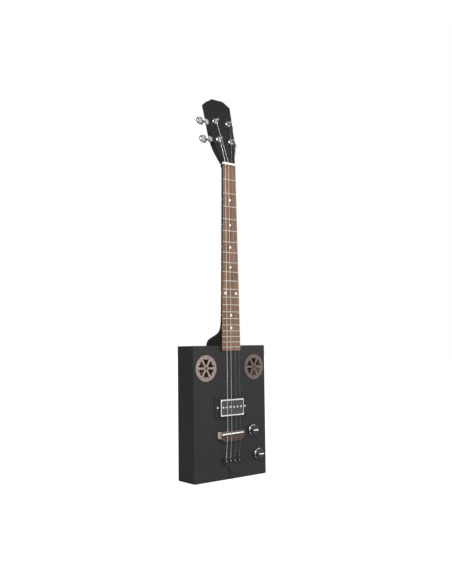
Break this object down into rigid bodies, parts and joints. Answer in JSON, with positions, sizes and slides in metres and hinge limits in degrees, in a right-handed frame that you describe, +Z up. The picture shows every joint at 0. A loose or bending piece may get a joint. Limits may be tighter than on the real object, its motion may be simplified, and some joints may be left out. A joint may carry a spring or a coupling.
{
  "type": "cigar box guitar",
  "caption": "Box-bodied electric guitar with a long fretted neck, tilted headstock with geared tuners, pickup, two control knobs, wooden bridge and metal tailpiece.",
  "frame": {"origin": "centre of the box body's flat bottom", "axes": "+Z up the neck from the box to the headstock, -Y out of the playing face, +X towards the thinnest string"},
  "size_m": [0.214, 0.0706, 0.8752],
  "materials": {
    "body_black": "satin black paint",
    "raw_wood": "unfinished, hidden inside",
    "neck_black": "gloss black lacquer",
    "fretboard_wood": "open-grained, oiled",
    "bridge_wood": "oiled rosewood",
    "fret_metal": "polished nickel silver",
    "bone": "smooth white",
    "grille_metal": "antique copper",
    "chrome": "polished",
    "wound_string": "bronze winding",
    "plain_string": "plain steel wire",
    "black_metal": "satin black",
    "black_plastic": "semi-gloss",
    "copper_wire": "enamelled winding",
    "steel": "nickel-plated",
    "cable": "insulated",
    "capacitor": "dipped"
  },
  "bodies": {
    "body": {"soundboard": "body_black", "back_panel": "body_black", "side_bass": "body_black", "side_treble": "body_black", "side_top": "body_black", "side_bottom": "body_black", "neck_block": "raw_wood", "tail_block": "raw_wood", "soundboard_brace": "raw_wood", "grille_bass": "grille_metal", "grille_treble": "grille_metal", "neck": "neck_black", "fretboard": "fretboard_wood", "frets": "fret_metal", "nut": "bone", "tuner_plate_1": "chrome", "tuner_plate_2": "chrome", "tuner_plate_3": "chrome", "tuner_plate_4": "chrome", "tuner_bushing_1": "chrome", "tuner_bushing_2": "chrome", "tuner_bushing_3": "chrome", "tuner_bushing_4": "chrome", "string_1": "wound_string", "string_2": "wound_string", "string_3": "plain_string", "string_4": "plain_string", "bridge": "bridge_wood", "saddle": "bone", "tailpiece": "black_metal", "tailpiece_screw": "black_metal", "pickup_ring": "black_plastic", "pot_volume": "steel", "pot_tone": "steel", "pot_nut_volume": "steel", "pot_nut_tone": "steel", "jack_plate": "black_metal", "jack_socket": "steel", "pickup_lead": "cable", "jack_lead": "cable", "tone_capacitor": "capacitor"},
    "button_1": {"tuner_button_1": "chrome"},
    "post_1": {"tuner_post_1": "chrome"},
    "button_2": {"tuner_button_2": "chrome"},
    "post_2": {"tuner_post_2": "chrome"},
    "button_3": {"tuner_button_3": "chrome"},
    "post_3": {"tuner_post_3": "chrome"},
    "button_4": {"tuner_button_4": "chrome"},
    "post_4": {"tuner_post_4": "chrome"},
    "pickup": {"pickup_cover": "chrome", "pickup_bobbin": "black_plastic", "pickup_coil": "copper_wire", "pickup_poles": "steel", "pickup_baseplate": "steel"},
    "height_screw_bass": {"height_screw_bass": "steel"},
    "height_screw_treble": {"height_screw_treble": "steel"},
    "volume": {"knob_volume": "black_plastic", "pot_shaft_volume": "steel"},
    "tone": {"knob_tone": "black_plastic", "pot_shaft_tone": "steel"}
  },
  "joints": [
    {"name": "button_1_turn", "type": "hinge", "parent": "body", "child": "button_1", "pos_m": [-0.0185, 0.00591, 0.77552], "axis": [1, 0, 0], "continuous": true},
    {"name": "post_1_turn", "type": "hinge", "parent": "body", "child": "post_1", "pos_m": [-0.0185, -0.01921, 0.77231], "axis": [0, -0.9703, 0.2419], "continuous": true},
    {"name": "button_2_turn", "type": "hinge", "parent": "body", "child": "button_2", "pos_m": [-0.0192, 0.01728, 0.82113], "axis": [1, 0, 0], "continuous": true},
    {"name": "post_2_turn", "type": "hinge", "parent": "body", "child": "post_2", "pos_m": [-0.0192, -0.00784, 0.81791], "axis": [0, -0.9703, 0.2419], "continuous": true},
    {"name": "button_3_turn", "type": "hinge", "parent": "body", "child": "button_3", "pos_m": [0.0192, 0.01728, 0.82113], "axis": [1, 0, 0], "continuous": true},
    {"name": "post_3_turn", "type": "hinge", "parent": "body", "child": "post_3", "pos_m": [0.0192, -0.00784, 0.81791], "axis": [0, -0.9703, 0.2419], "continuous": true},
    {"name": "button_4_turn", "type": "hinge", "parent": "body", "child": "button_4", "pos_m": [0.0185, 0.00591, 0.77552], "axis": [1, 0, 0], "continuous": true},
    {"name": "post_4_turn", "type": "hinge", "parent": "body", "child": "post_4", "pos_m": [0.0185, -0.01921, 0.77231], "axis": [0, -0.9703, 0.2419], "continuous": true},
    {"name": "pickup_height", "type": "slide", "parent": "body", "child": "pickup", "axis": [0, -1, 0], "range_m": [-0.0016, 0.0016]},
    {"name": "height_screw_bass_turn", "type": "hinge", "parent": "body", "child": "height_screw_bass", "pos_m": [-0.0395, -0.03, 0.1595], "axis": [0, -1, 0], "range_deg": [-1090, 1090]},
    {"name": "height_screw_treble_turn", "type": "hinge", "parent": "body", "child": "height_screw_treble", "pos_m": [0.0395, -0.03, 0.1595], "axis": [0, -1, 0], "range_deg": [-1090, 1090]},
    {"name": "volume_turn", "type": "hinge", "parent": "body", "child": "volume", "pos_m": [0.065, -0.029, 0.103], "axis": [0, -1, 0], "range_deg": [-60, 240]},
    {"name": "tone_turn", "type": "hinge", "parent": "body", "child": "tone", "pos_m": [0.081, -0.029, 0.0475], "axis": [0, -1, 0], "range_deg": [-60, 240]}
  ],
  "couplings": [
    {"joint": "post_1_turn", "follows": "button_1_turn", "ratio": 0.066667},
    {"joint": "post_2_turn", "follows": "button_2_turn", "ratio": 0.066667},
    {"joint": "post_3_turn", "follows": "button_3_turn", "ratio": 0.066667},
    {"joint": "post_4_turn", "follows": "button_4_turn", "ratio": 0.066667},
    {"joint": "height_screw_bass_turn", "follows": "pickup_height", "rad_per_m": -11855},
    {"joint": "height_screw_treble_turn", "follows": "pickup_height", "rad_per_m": -11855}
  ]
}
